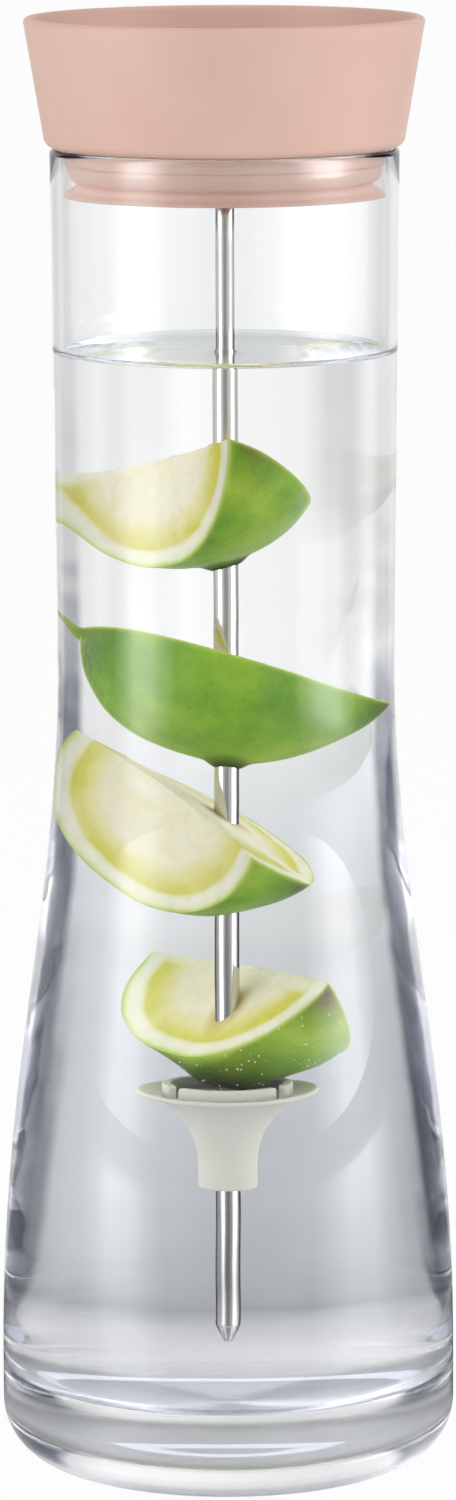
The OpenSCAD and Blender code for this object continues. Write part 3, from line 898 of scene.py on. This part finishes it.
# Studio: a white table and wall, two tall soft boxes, and dark flags beside the backdrop, as light by
# degrees to the right of straight behind. Water turns the view round, so what stands on the right
# shows at the left edge of the glass
surround = [(-180, 0.37), (-166, 0.39), (-152, 0.72), (-120, 0.84), (-90, 0.84), (-60, 0.82), (-40, 0.78),
            (-33, 0.8), (-26, 0.86), (-12, 0.87), (0, 0.94), (8, 1.0), (19, 1.0), (24, 0.91), (30, 0.8),
            (36, 0.74), (45, 0.7), (62, 0.7), (75, 0.84), (120, 0.84), (152, 0.72), (166, 0.39), (180, 0.37)]
# each flag and each soft box: where it stands, and how strongly it shows by metres to the table point
flagPlans = [
    {"around": [(35, 0.0), (40, 1.0), (64, 1.0), (74, 0.4), (86, 0.0)],
     "reach": [(0.8, 1.0), (1.1, 0.68), (1.4, 0.5), (1.6, 0.25), (2.4, 0.15)]},
    {"around": [(-86, 0.0), (-72, 0.4), (-60, 1.0), (-41, 1.0), (-36, 0.0)],
     "reach": [(0.05, 0.97), (0.85, 0.95), (1.15, 0.5), (1.4, 0.4), (1.6, 0.2), (2.4, 0.15)]},
    # the flags' feet, close to the object
    {"around": [(28, 0.0), (33, 1.0), (42, 1.0), (50, 0.0)],
     "reach": [(0.08, 0.85), (0.2, 0.8), (0.26, 0.25), (0.36, 0.0)]},
    {"around": [(-50, 0.0), (-42, 1.0), (-34, 1.0), (-30, 0.0)],
     "reach": [(0.13, 0.85), (0.17, 0.15), (0.24, 0.0)]},
    # paler flags, where the glass mirrors the soft boxes over what is seen through it
    {"around": [(7, 0.0), (13, 1.0), (20, 1.0), (27, 0.0)],
     "reach": [(0.5, 0.0), (0.85, 0.18), (1.2, 0.24)]},
    {"around": [(-33, 0.0), (-26, 1.0), (-19, 1.0), (-13, 0.0)],
     "reach": [(0.5, 0.0), (0.85, 0.24), (1.2, 0.33)]},
]
boxPlans = [
    {"around": [(-144, 0.0), (-134, 0.4), (-126, 0.9), (-114, 0.95), (-107, 0.4), (-98, 0.0)],
     "reach": [(0.1, 0.3), (0.24, 0.9), (0.5, 0.85), (1.1, 0.95), (1.4, 0.75), (1.65, 0.45), (2.0, 0.35)]},
    {"around": [(82, 0.0), (92, 0.4), (100, 0.95), (112, 0.95), (120, 0.5), (132, 0.0)],
     "reach": [(0.1, 0.4), (0.24, 1.0), (1.35, 0.95), (1.5, 0.3), (2.0, 0.15)]},
]
# painted shadow: the table's brightness, by metres from the middle of the object, painted darker near it
# where its shadow falls
tableShadeStops = [(0.0, "#CBCBCD"), (0.045, "#D5D5D8"), (0.07, "#DCDCDF"), (0.095, "#C6C7CA"), (0.12, "#A5A8AC"),
              (0.15, "#B0B3B8"), (0.2, "#BDC0C5"), (0.28, "#C8CBD0"), (0.4, "#DADCE0"), (0.7, "#F0F1F3"),
              (0.9, "#F7F8F9"), (1.1, "#FFFFFF")]
# light on what stands inside the glass, by the same degrees
insideStops = [(-180, 0.28), (-150, 0.36), (-125, 0.9), (-95, 1.0), (-60, 0.66), (0, 0.5), (60, 0.66),
               (90, 1.0), (118, 0.95), (146, 0.36), (180, 0.28)]
# the table's size and all reaches are metres, the rest are strengths and shares
studio = {"tableSize": 12.0, "tableColour": "#F2F2F3", "reach": 2.5, "worldReach": 0.3, "nearest": 0.15,
          "bend": 0.043, "shadowShare": 0.05, "fill": 0.5, "tableGlow": 1.04, "boxGlow": 6.5,
          "insideLight": 3.05, "insideTable": 1.0, "flagColour": "#0E2444"}


# stops by degrees, as stops along the full circle
def aroundStops(stops):
    return [(degrees / 360 + 0.5, level) for degrees, level in stops]


# stops by metres, on the square root of the distance, so that the near table gets more room
def reachStops(stops):
    return [(math.sqrt(metres / studio["reach"]), level) for metres, level in stops]


def bearing(tree, place):
    split = addNode(tree, "SeparateXYZ", {"Vector": place}).outputs
    return addMath(tree, "ARCTAN2", split["X"], split["Y"])


def circleShare(tree, angle):
    return addMath(tree, "MULTIPLY_ADD", angle, 0.5 / math.pi, 0.5)


# a table point's angle and distance, as they run along the ramps. Light left the glass beside the
# axis, so a near point lies off the way that it went
def tablePlace(tree, place):
    angle = bearing(tree, place)
    length = addNode(tree, "VectorMath", {0: place}, operation="LENGTH")
    double = addMath(tree, "MULTIPLY", angle, 2.0)
    sine = addMath(tree, "SINE", double)
    near = addMath(tree, "MAXIMUM", length, studio["nearest"])
    offset = addMath(tree, "DIVIDE", studio["bend"], near)
    turned = addMath(tree, "MULTIPLY_ADD", sine, offset, angle)
    far = addMath(tree, "DIVIDE", length, studio["reach"])
    return circleShare(tree, turned), addMath(tree, "SQRT", far)


# the share of a flag or a soft box that shows at a place
def panelShare(tree, plan, angle, reach):
    side = addNode(tree, "ValToRGB", {"Fac": angle}, stops=aroundStops(plan["around"]))
    away = addNode(tree, "ValToRGB", {"Fac": reach}, stops=reachStops(plan["reach"]))
    return addMath(tree, "MULTIPLY", side, away)


# colour and strength of the light that glass and metal see at a place
def aroundLight(tree, angle, reach):
    colour = addNode(tree, "ValToRGB", {"Fac": angle}, stops=aroundStops(surround))
    for flag in flagPlans:
        dark = panelShare(tree, flag, angle, reach)
        colour = mixColour(tree, dark, colour, studio["flagColour"])
    strength = 1.0
    for box in boxPlans:
        shine = panelShare(tree, box, angle, reach)
        strength = addMath(tree, "MULTIPLY_ADD", shine, studio["boxGlow"], strength)
    return colour, strength


# plain light, the light around for rays that glass and metal send on, the light within for those of
# them that come from something inside the glass, seen by their earlier diffuse bounce, and white
def byRay(tree, path, direct, plain, around, within, white):
    inside = addMath(tree, "GREATER_THAN", path["Diffuse Depth"], 0.5)
    shine = addMath(tree, "MAXIMUM", path["Is Glossy Ray"], path["Is Transmission Ray"])
    both = addMath(tree, "MULTIPLY", inside, shine)
    one = addNode(tree, "MixShader", {0: shine, 1: plain, 2: around})
    two = addNode(tree, "MixShader", {0: both, 1: one, 2: within})
    return addNode(tree, "MixShader", {0: direct, 1: two, 2: white})


def makeTable():
    mesh = bpy.data.meshes.new("table")
    s = studio["tableSize"] / 2
    mesh.from_pydata([(-s, -s, 0), (s, -s, 0), (s, s, 0), (-s, s, 0)], [], [(0, 1, 2, 3)])
    obj = addObject("table", mesh)
    mat, tree, coord = newMaterial("paperTable")
    path = addNode(tree, "LightPath").outputs
    angle, reach = tablePlace(tree, coord)
    # painted shadow: the table darkens towards the object for the rays that glass and metal send on
    depth = addNode(tree, "ValToRGB", {"Fac": reach}, stops=reachStops(tableShadeStops))
    colour, strength = aroundLight(tree, angle, reach)
    seen = mixColour(tree, 1.0, depth, colour, "MULTIPLY")
    glow = addMath(tree, "MULTIPLY", strength, studio["tableGlow"])
    paper = addNode(tree, "BsdfDiffuse", {"Color": studio["tableColour"]})
    through = addNode(tree, "Emission", {"Color": seen, "Strength": glow})
    within, white = (addNode(tree, "Emission", {"Color": "#FFFFFF", "Strength": level})
                     for level in (studio["insideTable"], 1.0))
    direct = addMath(tree, "MULTIPLY", path["Is Camera Ray"], 1 - studio["shadowShare"])
    mesh.materials.append(endMaterial(mat, byRay(tree, path, direct, paper, through, within, white)))


makeTable()

# broad soft panels a metre away, with sizes in metres, at degrees to the side of the camera. They light
# the object and show in nothing, because the surroundings hold what glass and metal mirror
panels = {"width": 0.8, "height": 1.2}
panelPlans = {"panelLeft": (-62, 1.9), "panelRight": (62, 2.0)}


def makePanel(name, azimuth, glow):
    a = math.radians(azimuth)
    data = bpy.data.lights.new(name, "AREA")
    data.shape = "RECTANGLE"
    data.size, data.size_y = panels["width"], panels["height"]
    data.energy = glow * panels["width"] * panels["height"] * math.pi
    panel = addObject(name, data)
    place = Vector((math.sin(a), -math.cos(a), panels["height"] / 2))
    aim = (Vector((0, 0, place.z)) - place).to_track_quat("-Z", "Y")
    panel.matrix_world = Matrix.Translation(place) @ aim.to_matrix().to_4x4()
    panel.visible_glossy = False
    panel.visible_transmission = False


for name, (azimuth, glow) in panelPlans.items():
    makePanel(name, azimuth, glow)


def makeWorld():
    world = bpy.data.worlds.new("studio")
    world.use_nodes = True
    tree = world.node_tree
    tree.nodes.clear()
    path = addNode(tree, "LightPath").outputs
    direction = addNode(tree, "TexCoord").outputs["Generated"]
    angle = circleShare(tree, bearing(tree, direction))
    reach = addMath(tree, "SQRT", studio["worldReach"] / studio["reach"])
    colour, strength = aroundLight(tree, angle, reach)
    around = addNode(tree, "Background", {"Color": colour, "Strength": strength})
    level = addNode(tree, "ValToRGB", {"Fac": angle}, stops=aroundStops(insideStops))
    within = addNode(tree, "Background", {"Strength": studio["insideLight"], "Color": level})
    fill, white = (addNode(tree, "Background", {"Color": "#FFFFFF", "Strength": plain})
                   for plain in (studio["fill"], 1.0))
    light = byRay(tree, path, path["Is Camera Ray"], fill, around, within, white)
    addNode(tree, "OutputWorld", {"Surface": light})
    scene.world = world


makeWorld()
scene.view_settings.view_transform = "Standard"
print("studio made")
